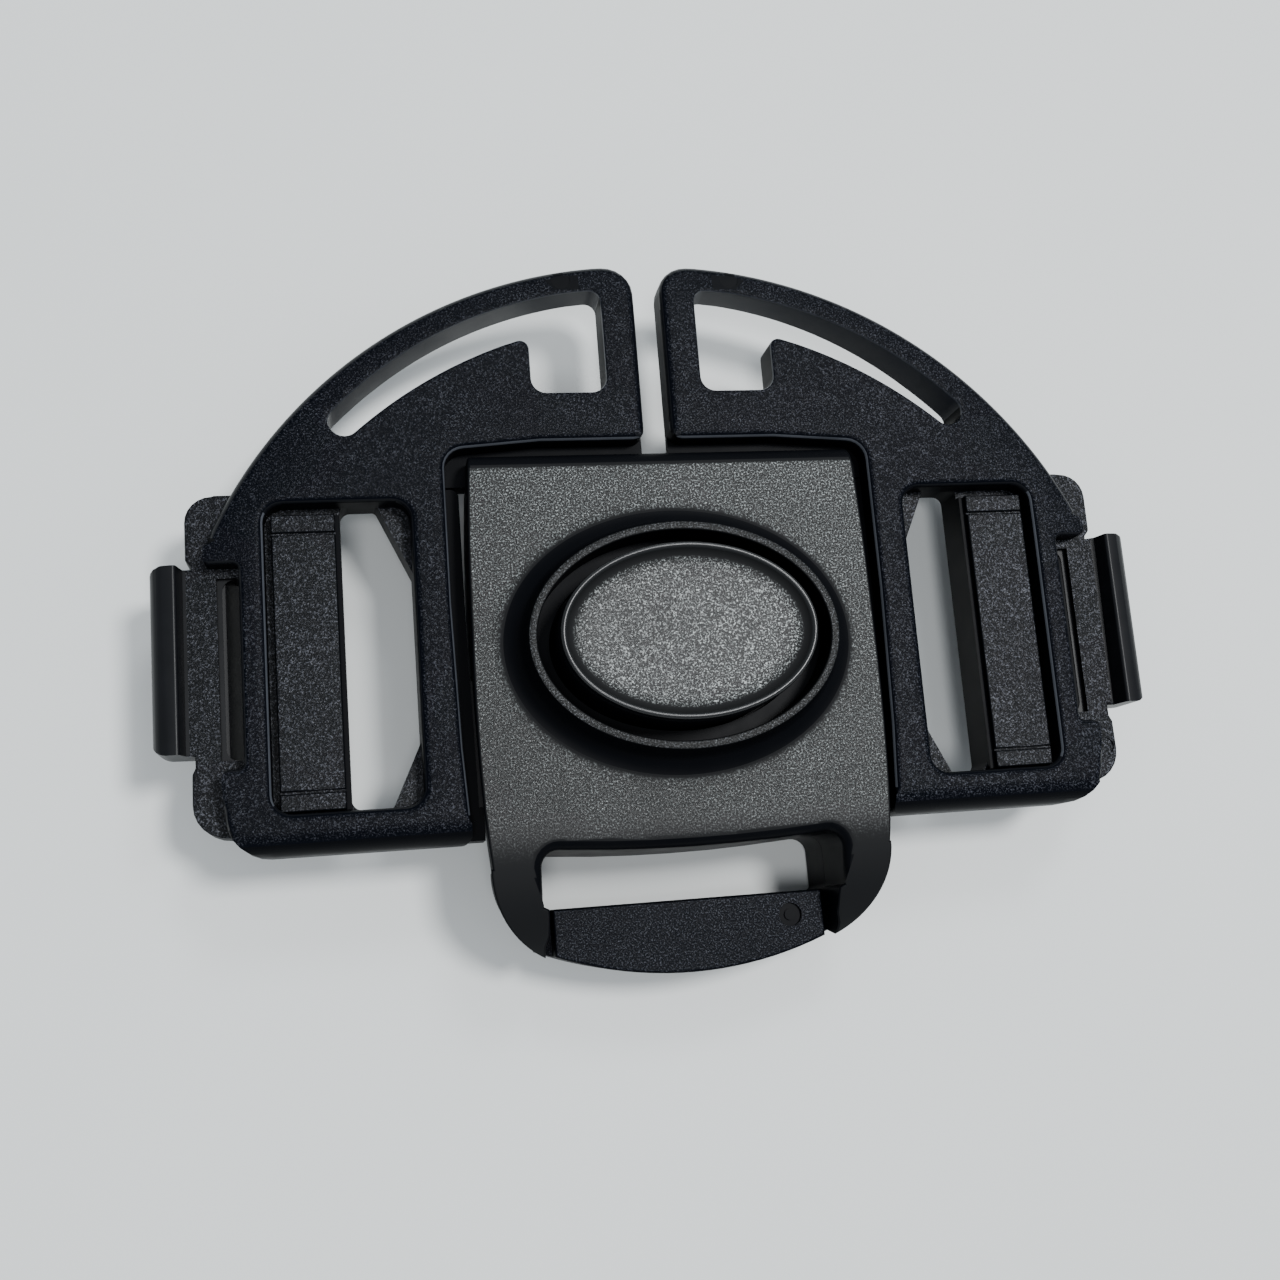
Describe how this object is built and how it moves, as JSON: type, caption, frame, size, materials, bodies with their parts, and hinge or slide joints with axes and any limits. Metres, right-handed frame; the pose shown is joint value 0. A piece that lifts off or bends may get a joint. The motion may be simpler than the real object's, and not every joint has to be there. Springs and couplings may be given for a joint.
{
  "type": "five-point harness buckle",
  "caption": "Fastened five-point harness buckle in black plastic with a central oval push button, curved shoulder strap slots, waist strap adjusters and a crotch strap slot.",
  "frame": {"origin": "on the resting face of the housing's back, below the centre of the oval button", "axes": "+X to the right waist adjuster, +Y to the shoulder strap slots, +Z out of the button's face"},
  "size_m": [0.0994, 0.0713, 0.0204],
  "materials": {
    "housing_plastic": "fine spark-eroded texture",
    "button_plastic": "fine spark-eroded texture",
    "wing_plastic": "fine spark-eroded texture",
    "adjuster_plastic": "fine spark-eroded texture"
  },
  "bodies": {
    "buckle": {"front_cover": "housing_plastic", "back_cover": "wing_plastic", "left_shoulder_wing": "wing_plastic", "right_shoulder_wing": "wing_plastic", "left_waist_adjuster": "adjuster_plastic", "right_waist_adjuster": "adjuster_plastic"},
    "button": {"release_button": "button_plastic"}
  },
  "joints": [
    {"name": "button_press", "type": "slide", "parent": "buckle", "child": "button", "axis": [0, 0, 1], "range_m": [-0.0022, 0], "stiffness_N_per_m": 1500, "springref_m": 0.002}
  ]
}
